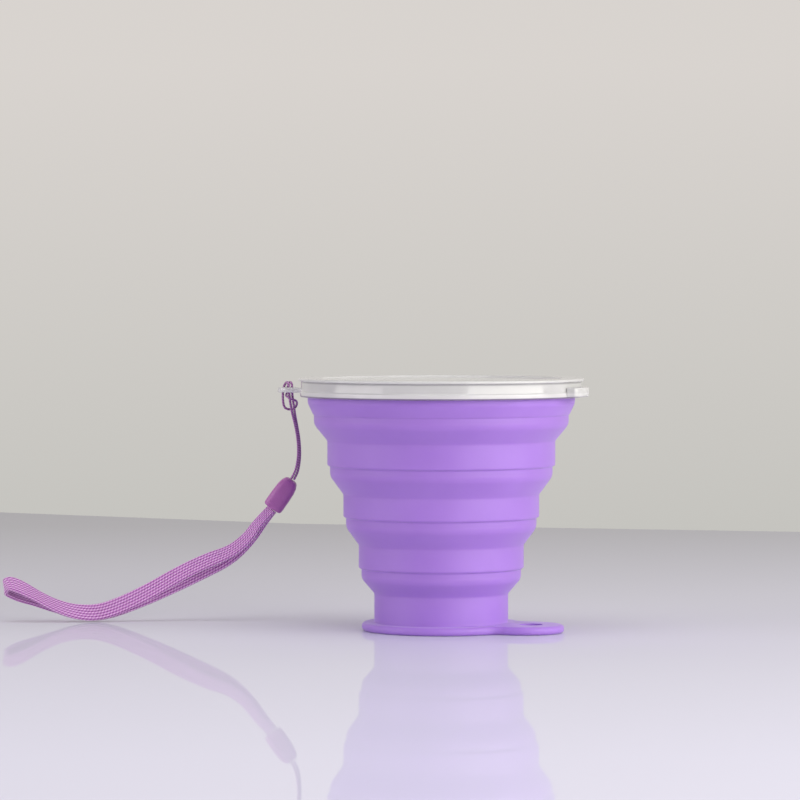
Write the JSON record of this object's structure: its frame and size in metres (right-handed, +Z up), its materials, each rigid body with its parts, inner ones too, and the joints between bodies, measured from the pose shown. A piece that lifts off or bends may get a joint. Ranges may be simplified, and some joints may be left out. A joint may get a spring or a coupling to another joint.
{
  "type": "collapsible silicone cup",
  "caption": "Collapsible silicone drinking cup with pleated folding wall, hanging tab, clear snap lid and a braided wrist lanyard on the lid's ear.",
  "frame": {"origin": "centre of the round base's resting face, on the cup's axis", "axes": "+Z up along the cup's axis; +X to the right of the front view; the hanging tab points to the front right and the lid's ear to the back left"},
  "size_m": [0.1882, 0.09, 0.0795],
  "materials": {
    "silicone": "soft matt moulded silicone",
    "lid_plastic": "clear, slightly milky moulded polypropylene",
    "ferrule_plastic": "soft moulded plastic",
    "thread": "thin braided polyester thread",
    "strap": "flat braided polyester cord"
  },
  "bodies": {
    "base": {"cup_base": "silicone", "pleat_1": "silicone"},
    "low_band": {"band_low": "silicone", "pleat_2": "silicone"},
    "middle_band": {"band_mid": "silicone", "pleat_3": "silicone"},
    "high_band": {"band_high": "silicone", "pleat_4": "silicone"},
    "rim": {"cup_rim": "silicone"},
    "lid": {"lid": "lid_plastic"},
    "lanyard": {"lanyard_ferrule": "ferrule_plastic", "lanyard_thread": "thread"},
    "wrist_strap": {"lanyard_strap": "strap"}
  },
  "joints": [
    {"name": "fold_low", "type": "slide", "parent": "base", "child": "low_band", "axis": [0, 0, -1], "range_m": [0, 0.015], "deforming": ["pleat_1"]},
    {"name": "fold_middle", "type": "slide", "parent": "low_band", "child": "middle_band", "axis": [0, 0, -1], "range_m": [0, 0.015], "deforming": ["pleat_2"]},
    {"name": "fold_high", "type": "slide", "parent": "middle_band", "child": "high_band", "axis": [0, 0, -1], "range_m": [0, 0.015], "deforming": ["pleat_3"]},
    {"name": "fold_rim", "type": "slide", "parent": "high_band", "child": "rim", "axis": [0, 0, -1], "range_m": [0, 0.015], "deforming": ["pleat_4"]},
    {"name": "lid_lift", "type": "slide", "parent": "rim", "child": "lid", "axis": [0, 0, 1], "range_m": [0, 0.03]},
    {"name": "lanyard_swing", "type": "hinge", "parent": "lid", "child": "lanyard", "pos_m": [-0.04799, 0.01842, 0.0753], "axis": [0, 1, 0], "range_deg": [0, 68.1], "deforming": ["lanyard_thread"]},
    {"name": "strap_swing", "type": "hinge", "parent": "lanyard", "child": "wrist_strap", "pos_m": [-0.0544, 0.037, 0.0365], "axis": [0, 1, 0], "range_deg": [-35.1, 0], "deforming": ["lanyard_strap"]}
  ],
  "couplings": [
    {"joint": "fold_middle", "follows": "fold_low", "ratio": 1},
    {"joint": "fold_high", "follows": "fold_low", "ratio": 1},
    {"joint": "fold_rim", "follows": "fold_low", "ratio": 1},
    {"joint": "lanyard_swing", "follows": "fold_low", "rad_per_m": 79.122},
    {"joint": "strap_swing", "follows": "fold_low", "rad_per_m": -40.724}
  ]
}
